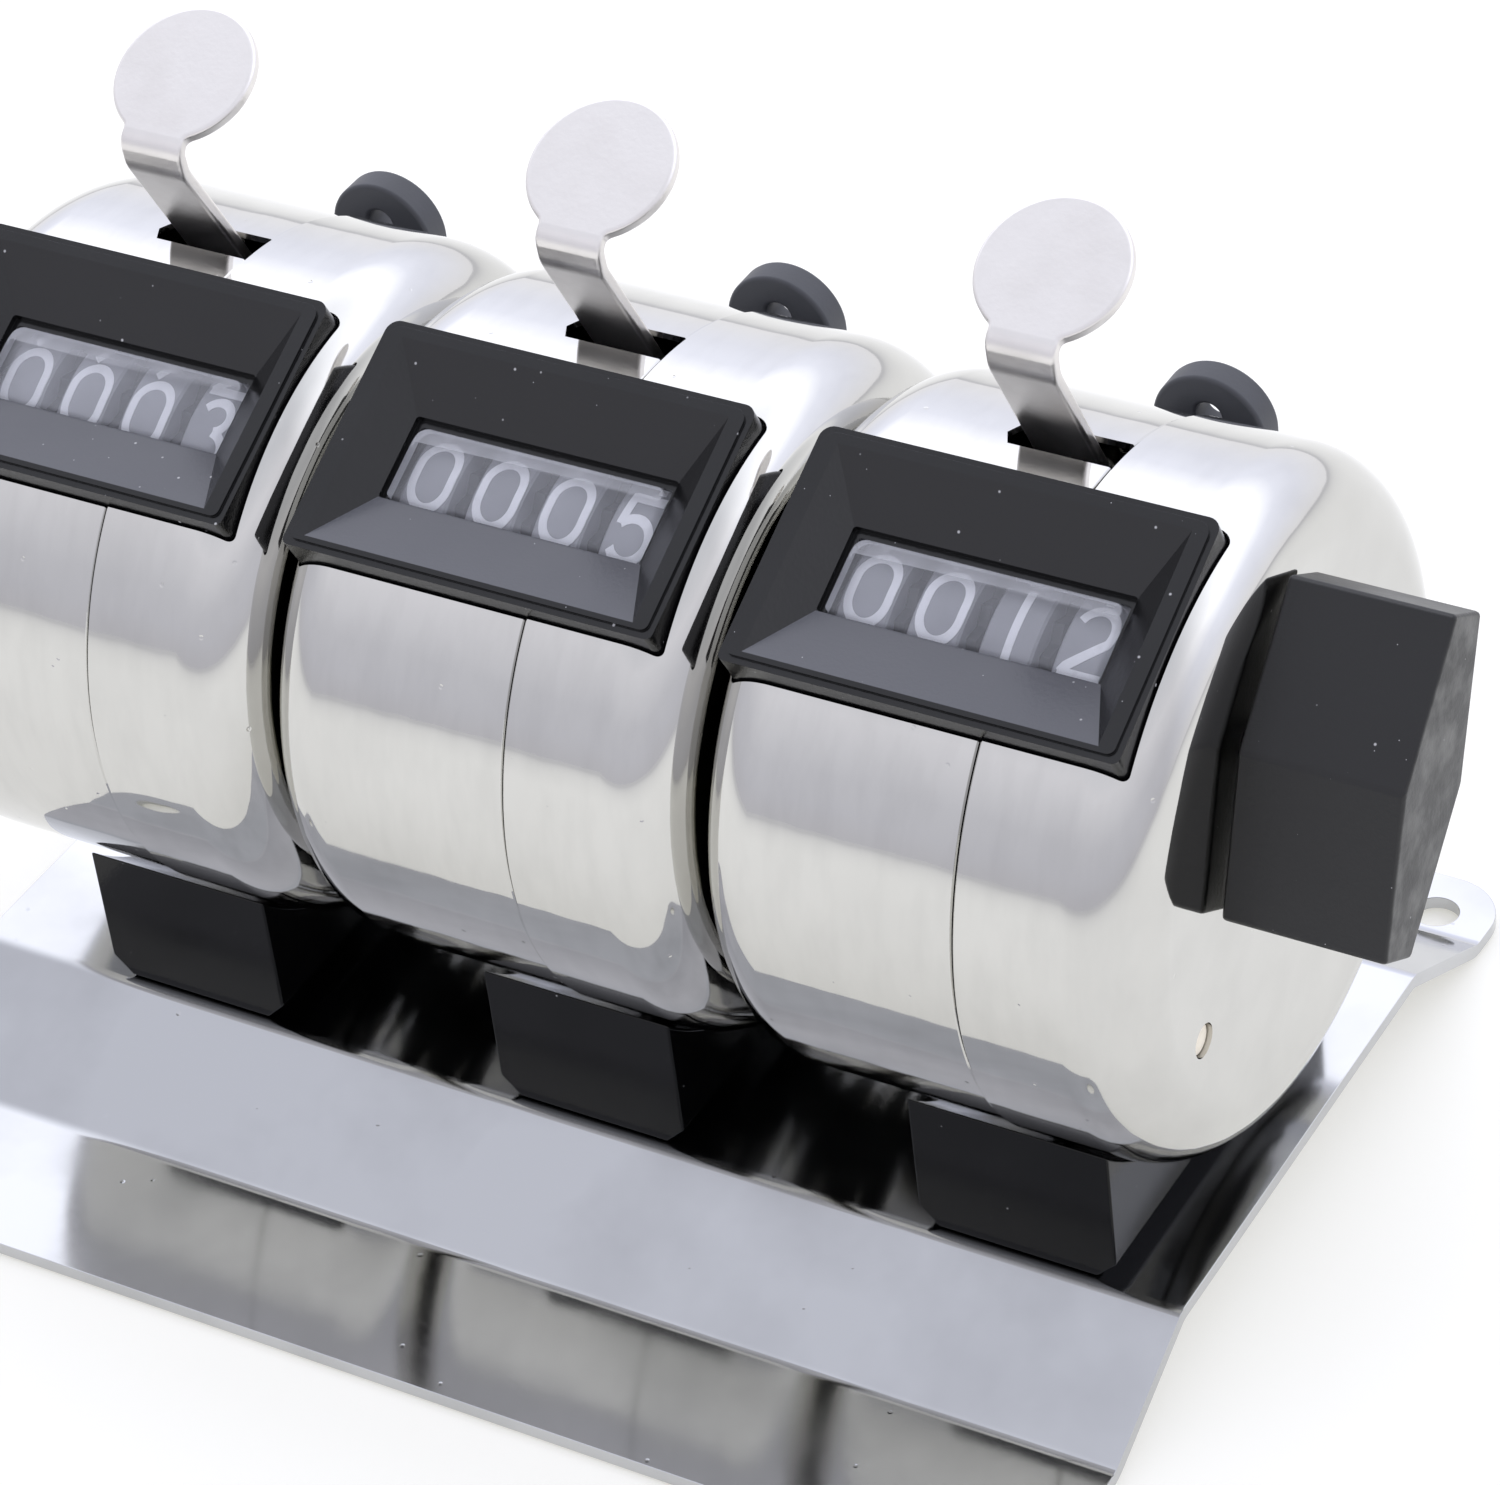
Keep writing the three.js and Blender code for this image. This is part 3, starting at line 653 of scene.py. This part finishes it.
# Centre lines of each numeral's strokes, [across, up] from its middle, and whether they close.
STROKES = {
    0: [loop_stroke()],
    1: [([(0.0, 1.98), (0.0, -2.05)], False)],
    2: [
        ([*arc(0, 0.62, 1.2, 160, -28, 16), (-1.05, -1.45), (-1.28, -1.8)], False),
        ([(-1.42, -1.8), (1.35, -1.8)], False),
    ],
    3: [
        ([*arc(0, 0.93, 1.02, 155, -75, 14, 0.86)], False),
        ([*arc(0, -0.85, 1.25, 80, -155, 16, 0.76)], False),
    ],
    4: [
        ([(0.45, 1.95), (-1.35, -0.85)], False),
        ([(-1.5, -0.85), (1.5, -0.85)], False),
        ([(0.6, 2.0), (0.6, -2.05)], False),
    ],
    5: [
        ([(1.2, 1.75), (-1.0, 1.75)], False),
        ([(-0.9, 1.95), (-1.05, 0.1)], False),
        ([*arc(-0.02, -0.65, 1.28, 140, -150, 18, 0.92)], False),
    ],
    6: [
        ([*arc(0, -0.62, 1.25, 0, 360, 26, 0.94)], True),
        ([(0.75, 2.0), (0.0, 0.95), *arc(0.2, -0.62, 1.45, 130, 180, 6, 0.95)], False),
    ],
    7: [([(-1.4, 1.75), (1.4, 1.75)], False), ([(1.25, 1.8), (-0.45, -2.05)], False)],
    8: [
        ([*arc(0, 0.93, 1.0, 0, 360, 22, 0.86)], True),
        ([*arc(0, -0.85, 1.28, 0, 360, 26, 0.76)], True),
    ],
    9: [
        ([*arc(0, 0.62, 1.25, 0, 360, 26, 0.94)], True),
        ([(-0.75, -2.0), (0.0, -0.95), *arc(-0.2, 0.62, 1.45, -50, 0, 6, 0.95)], False),
    ],
}
STROKE = 0.55
STROKE_STEP = 0.35  # a stroke is cut this short, so that it follows the rim
NUMERAL_SHIFT = -0.15  # from the wheel's middle
NUMERAL_STRETCH = 1.25  # upward
NUMERAL_RISE = 0.035
NUMERAL_ROOT = 0.08


def ribbon(points, closed):
    """Left and right edges of a stroke of constant width."""
    corners = [Vector(p) for p in points]
    if closed and (corners[0] - corners[-1]).length < 1e-6:
        corners.pop()
    path = []
    for i, corner in enumerate(corners if closed else corners[:-1]):
        reach = corners[(i + 1) % len(corners)] - corner
        parts = max(1, math.ceil(reach.length / STROKE_STEP))
        path += [corner + reach * k / parts for k in range(parts)]
    if not closed:
        path.append(corners[-1])
    count = len(path)
    edges = []
    for i, point in enumerate(path):
        before = path[i - 1] if closed or i else point
        after = path[(i + 1) % count] if closed or i < count - 1 else point
        along = (after - before).normalized()
        across = Vector((-along.y, along.x)) * STROKE / 2
        edges.append((point + across, point - across))
    return edges


def numerals():
    """All ten numerals as thin raised strokes wrapped round a wheel whose 0 faces the window."""
    verts, faces = [], []
    normal = Vector((0, -math.sin(FACE_TILT), math.cos(FACE_TILT)))
    down = Vector((0, -math.cos(FACE_TILT), -math.sin(FACE_TILT)))
    axis = Vector((0, *WHEEL_AXIS))
    for digit, strokes in STROKES.items():
        for layer, (points, closed) in enumerate(strokes):
            edges = ribbon(points, closed)
            top = WHEEL_RADIUS + NUMERAL_RISE + 0.004 * layer  # crossing strokes never share a face
            start = len(verts)
            for pair in edges:
                for radius in (top, WHEEL_RADIUS - NUMERAL_ROOT):
                    for u, w in pair:
                        angle = DIGIT_TURN * digit - w * NUMERAL_STRETCH / WHEEL_RADIUS
                        out = normal * math.cos(angle) + down * math.sin(angle)
                        verts.append(axis + out * radius + Vector((NUMERAL_SHIFT + u, 0, 0)))
            count = len(edges)
            for i in range(count if closed else count - 1):
                a = start + 4 * i
                b = start + 4 * ((i + 1) % count)
                faces += [(a, b, b + 1, a + 1), (a + 2, a + 3, b + 3, b + 2)]
                faces += [(a, a + 2, b + 2, b), (a + 1, b + 1, b + 3, a + 3)]
            if not closed:
                last = start + 4 * (count - 1)
                faces += [(start, start + 1, start + 3, start + 2), (last, last + 2, last + 3, last + 1)]
    return verts, faces


def number_wheel():
    wheel = lathe("wheel", RIM_PROFILE, 120, WHEEL_AXIS)
    painted(softened(wheel, 0), WHEEL_PAINTED_REFLECTION)
    teeth = []
    for k in range(2 * GEAR["teeth"]):
        angle = math.pi * k / GEAR["teeth"]
        radius = GEAR["root"] if k % 2 else GEAR["tip"]
        teeth.append((WHEEL_AXIS[0] + radius * math.cos(angle), WHEEL_AXIS[1] + radius * math.sin(angle)))
    gear = prism("gear", teeth, GEAR["from"], GEAR["to"], "x")
    cut(gear, prism("bore", circle(WHEEL_BORE, WHEEL_AXIS, 32), 1, 3, "x"))
    painted(softened(gear, 0.08, 2, 25), GEAR_GREY)
    digits = painted(build("digits", *numerals()), WHITE)
    return merged("number_wheel", wheel, gear, digits)


def merged(name, *objects):
    """One mesh from several objects, each keeping its material and normals."""
    for obj in objects:
        obj.select_set(True)
    bpy.context.view_layer.objects.active = objects[0]
    with bpy.context.temp_override(
        active_object=objects[0], selected_objects=list(objects), selected_editable_objects=list(objects)
    ):
        bpy.ops.object.join()
    objects[0].name = name
    return objects[0]


# ---------- thumb lever ----------
def lever_line():
    neck, pad = Vector(LEVER_PATH[-2]), Vector(LEVER_PATH[-1])
    far = pad + (pad - neck).normalized() * (PAD_RADIUS + 0.5)
    return bent_line([*LEVER_PATH[:-1], far], LEVER_BENDS, 10)


def lever_strip():
    """The flat blank of strip and pad, cut across at every step of the bent line and wrapped along it."""
    line = lever_line()
    lengths = [0.0]
    for a, b in zip(line, line[1:]):
        lengths.append(lengths[-1] + (b - a).length)
    pad_at = lengths[-1] - PAD_RADIUS - 0.5
    half = LEVER_WIDTH / 2
    aside, away = half + PAD_FILLET, PAD_RADIUS + PAD_FILLET
    meet = math.degrees(math.asin(aside / away))
    fillet = arc(aside, pad_at - math.sqrt(away**2 - aside**2), PAD_FILLET, 180, 90 + meet, 6)
    right = [(half, 0.0), *fillet, *arc(0, pad_at, PAD_RADIUS, meet - 90, 90, 40)[1:]]
    outline = [*right, *[(-x, s) for x, s in reversed(right[:-1])]]
    strip = prism("strip", outline, -LEVER_SHEET / 2, LEVER_SHEET / 2)
    softened(strip, 0.28, 4, 60)
    bm = bmesh.new()
    bm.from_mesh(strip.data)
    for s in lengths[1:-1]:
        geometry = bm.verts[:] + bm.edges[:] + bm.faces[:]
        bmesh.ops.bisect_plane(bm, geom=geometry, dist=1e-5, plane_co=(0, s, 0), plane_no=(0, 1, 0))
    neck_at = lengths[-3] - 0.1
    for face in bm.faces:
        face.material_index = 0 if face.calc_center_median().y > neck_at else 1
    for vert in bm.verts:
        x, s, h = vert.co
        i = min(max(k for k, length in enumerate(lengths) if length <= max(s, 0) + 1e-6), len(line) - 2)
        along = (line[i + 1] - line[i]).normalized()
        tangents = [along]
        if abs(s - lengths[i]) < 1e-4 and i > 0:
            tangents.append((line[i] - line[i - 1]).normalized())
        direction = sum(tangents, Vector((0, 0))).normalized()
        point = line[i] + along * (s - lengths[i])
        y, z = point + Vector((-direction.y, direction.x)) * h
        vert.co = (LEVER_X + x, y, z)
    bmesh.ops.recalc_face_normals(bm, faces=bm.faces)
    bm.to_mesh(strip.data)
    bm.free()
    painted(strip, NICKEL, STRIP)
    return softened(strip, 0)


def lever_carrier():
    left = LEVER_X - LEVER_WIDTH / 2 + 0.1
    boss = prism("boss", circle(1.9, PIVOT), left, 8.4, "x")
    join(
        boss,
        prism("cheek", CARRIER_CHEEK, 10.0, CARRIER_RIGHT, "x"),
        prism("web", CARRIER_WEB, left, 8.3, "x"),
        prism("bar", CARRIER_BAR, 8.0, CARRIER_RIGHT, "x"),
        prism("stud", circle(0.7, PAWL_PIVOT, 24), 8.7, 10.4, "x"),
    )
    cut(boss, prism("pin_hole", circle(PIN_HOLE, PIVOT, 32), -5, 12, "x"))
    return painted(softened(boss, 0), STEEL)


# ---------- inner frame, lug, foot and screw ----------
def lug():
    x, radius, front, back = LUG["x"], LUG["radius"], LUG["front"], LUG["back"]
    feet = [(x - radius, LUG["foot"]), (x + radius, LUG["foot"])]
    ear = prism("lug", [*feet, *arc(x, LUG["height"], radius, 0, 180, 40)], front, back, "y")
    cut(ear, prism("eye", circle(LUG_EYE["radius"], (x, LUG_EYE["height"]), 40), front - 1, back + 1, "y"))
    softened(ear, 0.3, 3, 40)
    join(ear, prism("arm", LUG_ARM, x - radius + 0.1, x + radius - 0.1, "x"))
    return painted(softened(ear, 0), LUG_BLACK)


def inner_frame():
    body = prism("inner", FRAME_PLATE, *FRAME_LEFT, "x")
    join(
        body,
        prism("bridge", [(-8, -18.5), (8, -18.5), (8, -15.5), (-8, -15.5)], *FRAME_SPAN, "x"),
        prism("crossbar", [(13.3, -1.9), (15.1, -1.9), (15.1, 2.9), (13.3, 2.9)], *FRAME_SPAN, "x"),
        prism("cheek", FRAME_PLATE, *FRAME_RIGHT, "x"),
    )
    cut(body, prism("shaft", circle(RESET_RADIUS + 0.25, WHEEL_AXIS, 32), -14, 14, "x"))
    cut(body, prism("pin", circle(PIN_HOLE, PIVOT, 32), -14, 14, "x"))
    return painted(softened(body, 0), INNER_BLACK)


def foot():
    saddle = DRUM_RADIUS + FOOT_GAP
    low = 0.1 - PLATFORM_DROP
    start = math.degrees(math.asin(FOOT["back"] / saddle)) - 90
    end = math.degrees(math.asin(FOOT["front"] / saddle)) - 90
    side = [(FOOT["front"], low), (FOOT["back"], low), *arc(0, 0, saddle, start, end, 24)]
    block = prism("foot", side, FOOT["left"], FOOT["right"], "x")
    slanted = [
        (FOOT["left"] + FOOT_CHAMFER, low),
        (FOOT["right"] - FOOT_CHAMFER, low),
        (FOOT["right"], low + FOOT_CHAMFER),
        (FOOT["right"], 0),
        (FOOT["left"], 0),
        (FOOT["left"], low + FOOT_CHAMFER),
    ]
    combined(block, [prism("slant", slanted, FOOT["front"] - 1, FOOT["back"] + 1, "y")], "INTERSECT")
    cut(block, prism("screw_hole", circle(1.5, (0, 0), 32), -30, -15))
    return painted(softened(block, 0.3, 3, 30), FOOT_BLACK)


def foot_screw():
    seat = -PLATFORM_DROP - SHEET - 0.1
    head = lathe("screw", SCREW_PROFILE, 64)
    head.data.transform(Matrix.Translation((0, 0, seat)) @ Matrix.Rotation(math.radians(-90), 4, "Y"))
    for x, y in ((1.5, 0.3), (0.3, 1.5)):
        cut(head, prism("recess", [(-x, -y), (x, -y), (x, y), (-x, y)], seat - 2, seat - 0.5))
    return painted(softened(head, 0), STEEL)


# ---------- base, knob ----------
def base_plate():
    top = DRUM_Z - PLATFORM_DROP
    middle = SHEET / 2
    points = [
        (FRONT_EDGE, middle),
        (-SLOPE_FOOT, middle + FLANGE_LEAN),
        (-PLATFORM_HALF, top - middle),
        (PLATFORM_HALF, top - middle),
        (SLOPE_FOOT, middle + FLANGE_LEAN),
        (REAR_EDGE, middle),
    ]
    line = bent_line(points, BASE_BENDS, 10)
    edge = {1: [], -1: []}
    for i, point in enumerate(line):
        along = (line[min(i + 1, len(line) - 1)] - line[max(i - 1, 0)]).normalized()
        for side, row in edge.items():
            row.append(point + Vector((-along.y, along.x)) * side * SHEET / 2)
    outline = [tuple(p) for p in (*edge[1], *reversed(edge[-1]))]
    plate = prism("base", outline, -BASE_HALF - 1, BASE_HALF + 1, "x")
    plan = rounded_rect(-BASE_HALF, BASE_HALF, FRONT_EDGE, REAR_EDGE, (CORNER["radius"],) * 4, 12)
    combined(plate, [prism("plan", plan, -1, 20)], "INTERSECT")
    for x in (-BASE_HALF + CORNER["inset"], BASE_HALF - CORNER["inset"]):
        for y in (FRONT_EDGE + CORNER["inset"], REAR_EDGE - CORNER["inset"]):
            cut(plate, prism("hole", circle(CORNER["hole"], (x, y)), -2, 3))
    for x in COUNTERS.values():
        cut(plate, prism("hole", circle(CORNER["hole"], (x - COUNTERS["middle"], 0)), 2, 9))
    return painted(softened(plate, 0.12, 2, 50), PLATE)


def knob():
    along = Vector((math.sin(KNOB_LEAN), math.cos(KNOB_LEAN)))
    across = Vector((along.y, -along.x))
    end, middle, span = KNOB["end"], KNOB["middle"], KNOB["span"]
    corners = [(-end, span), (-middle, 0), (-end, -span), (end, -span), (middle, 0), (end, span)]
    outline = [tuple(Vector(WHEEL_AXIS) + across * a + along * b) for a, b in corners]
    left = DRUM_RIGHT + KNOB["gap"]
    body = prism("knob", outline, left, left + KNOB["length"], "x")
    cut(body, prism("bore", circle(KNOB["bore"], WHEEL_AXIS, 32), left - 1, left + KNOB["depth"], "x"))
    return painted(softened(body, 0.3, 3, 20), KNOB_BLACK)


def side_pin():
    outline = circle(SIDE_PIN["radius"], SIDE_HOLE, 40)
    body = prism("pin", outline, SIDE_PIN["from"], DRUM_RIGHT - SIDE_PIN["below"], "x")
    return painted(softened(body, 0.15), CREAM)


# ---------- assembly ----------
templates = {  # piece: (mesh, slot, CAD nodes it replaces, body it rides on)
    "left_shell": (left_shell(), "shell_chrome", ("left_shell",), "stand"),
    "right_shell": (right_shell(), "shell_chrome", ("right_shell",), "stand"),
    "bezel": (bezel(), "bezel_black", ("bezel",), "stand"),
    "window": (lens(), "window_clear", ("lens",), "stand"),
    "lug": (lug(), "chassis_black", ("chassis",), "stand"),
    "inner_frame": (inner_frame(), "chassis_black", ("chassis",), "stand"),
    "rubbed_foot": (foot(), "foot_black", ("foot",), "stand"),
    "screw": (foot_screw(), "steel", ("foot_screw",), "stand"),
    "lever_strip": (lever_strip(), "lever_nickel", ("thumb_lever",), "lever"),
    "lever_carrier": (lever_carrier(), "steel", ("thumb_lever",), "lever"),
    "side_pin": (side_pin(), "pinion_brass", (), "stand"),
}
wheel = number_wheel()

for side, x in COUNTERS.items():
    here = (x, DRUM_Y, DRUM_Z)
    for part, (template, slot, replaced, body) in templates.items():
        rider = body if body == "stand" else f"{side}_{body}"
        place(template, f"{side}_{part}_skin", here, rider, slot, *(f"{side}_{node}" for node in replaced))
    for order, name in enumerate(WHEELS):
        down = WHEEL_PLAY[side][order] / WHEEL_RADIUS - DIGIT_TURN * READINGS[side][order]
        about = Matrix.Translation((0, *WHEEL_AXIS))
        turn = about @ Matrix.Rotation(down, 4, "X") @ about.inverted()
        spot = (x + (order - 1.5) * WHEEL_PITCH, DRUM_Y, DRUM_Z)
        node = f"{side}_{name}_wheel"
        place(wheel, f"{node}_skin", spot, node, "wheel_black", node, turn=turn)

base = base_plate()
place(base, "base_skin", (COUNTERS["middle"], DRUM_Y, 0), "stand", "base_chrome", "base_plate")
grip = knob()
place(grip, "knob_skin", (COUNTERS["right"], DRUM_Y, DRUM_Z), "reset", "knob_black", "reset_knob")

for template in (*(entry[0] for entry in templates.values()), wheel, base, grip):
    bpy.data.objects.remove(template)

for name, node in nodes.items():
    if not node.hide_render:
        painted(node, BRASS if "transfer_pinion" in name else STEEL)

# ---------- floor and light ----------
FLOOR_FADE = (0.25, 1.4)  # metres from the middle, where the floor starts and ends turning greyer
FLOOR_HALF = 3
FLOOR_GAP = 0.0002

floor_look = Look("floor", (0.62, 0.62, 0.61), roughness=0.8, Specular_IOR_Level=0.0)
floor_look.tint(floor_look.remap(floor_look.noise(14, 3), 0.4, 0.7, 0, 0.3), (0.60, 0.60, 0.59))
floor_look.shader.inputs["Emission Color"].default_value = (1.0, 0.985, 0.91, 1)
reach = floor_look.tree.nodes.new("ShaderNodeVectorMath")
reach.operation = "LENGTH"
floor_look.link(floor_look.coords, reach.inputs[0])
# painted shade: the floor turns greyer farther from the middle
floor_look.tint(floor_look.remap(reach.outputs["Value"], *FLOOR_FADE, 0, 1), (0.42, 0.42, 0.44))
# the floor glows a little, painted light that fades its shadows, less so farther out
glow = floor_look.remap(reach.outputs["Value"], *FLOOR_FADE, 0.44, 0.3)
floor_look.link(glow, floor_look.shader.inputs["Emission Strength"])
corners = [(x * FLOOR_HALF, y * FLOOR_HALF, 0) for x, y in ((-1, -1), (1, -1), (1, 1), (-1, 1))]
floor = build("floor", corners, [(0, 1, 2, 3)])
painted(floor, floor_look.material)
floor.location.z = -FLOOR_GAP


SKY_RANGE = 3.0  # a ramp's colours stop at 1: they are divided by this, and the strength restores them


class Sky:
    """Brightness by direction: a white tent, brightest above and behind the object, greyer in front."""

    def __init__(self):
        world = bpy.data.worlds.new("tent")
        scene.world = world
        world.use_nodes = True
        self.tree = world.node_tree
        split = self.tree.nodes.new("ShaderNodeSeparateXYZ")
        self.tree.links.new(self.tree.nodes.new("ShaderNodeTexCoord").outputs["Generated"], split.inputs[0])
        self.axis = dict(zip("xyz", split.outputs))
        self.background = self.tree.nodes["Background"]

    def ramp(self, source, stops):
        node = self.tree.nodes.new("ShaderNodeValToRGB")
        for index, (at, color) in enumerate(stops):
            stop = node.color_ramp.elements[index] if index < 2 else node.color_ramp.elements.new(at)
            stop.position = at
            stop.color = (*[c / SKY_RANGE for c in color], 1)
        self.tree.links.new(source, node.inputs["Fac"])
        return node.outputs["Color"]

    def fade(self, source, low, high):
        node = self.tree.nodes.new("ShaderNodeMapRange")
        node.interpolation_type = "SMOOTHSTEP"
        node.inputs["From Min"].default_value = low
        node.inputs["From Max"].default_value = high
        self.tree.links.new(source, node.inputs["Value"])
        return node.outputs["Result"]

    def mix(self, factor, first, second):
        node = self.tree.nodes.new("ShaderNodeMix")
        node.data_type = "RGBA"
        for socket, value in (("Factor", factor), ("A", first), ("B", second)):
            self.tree.links.new(value, node.inputs[socket])
        return node.outputs["Result"]


sky = Sky()
front = sky.ramp(
    sky.axis["z"],
    [
        (0.0, (0.72, 0.72, 0.80)),
        (0.12, (0.76, 0.765, 0.86)),
        (0.28, (0.80, 0.805, 0.90)),
        (0.55, (1.0, 1.0, 1.10)),
        (0.80, (0.88, 0.90, 1.0)),
        (1.0, (0.95, 0.97, 1.08)),
    ],
)
rear = sky.ramp(
    sky.axis["z"],
    [
        (0.0, (1.15, 1.15, 1.22)),
        (0.25, (1.2, 1.23, 1.42)),
        (0.42, (1.33, 1.37, 1.6)),
        (0.60, (1.9, 1.93, 2.1)),
        (0.85, (1.5, 1.54, 1.7)),
        (1.0, (1.0, 1.02, 1.15)),
    ],
)
tent = sky.mix(sky.fade(sky.axis["y"], -0.1, 0.45), front, rear)
sky.background.inputs["Strength"].default_value = SKY_RANGE
sky.tree.links.new(tent, sky.background.inputs["Color"])
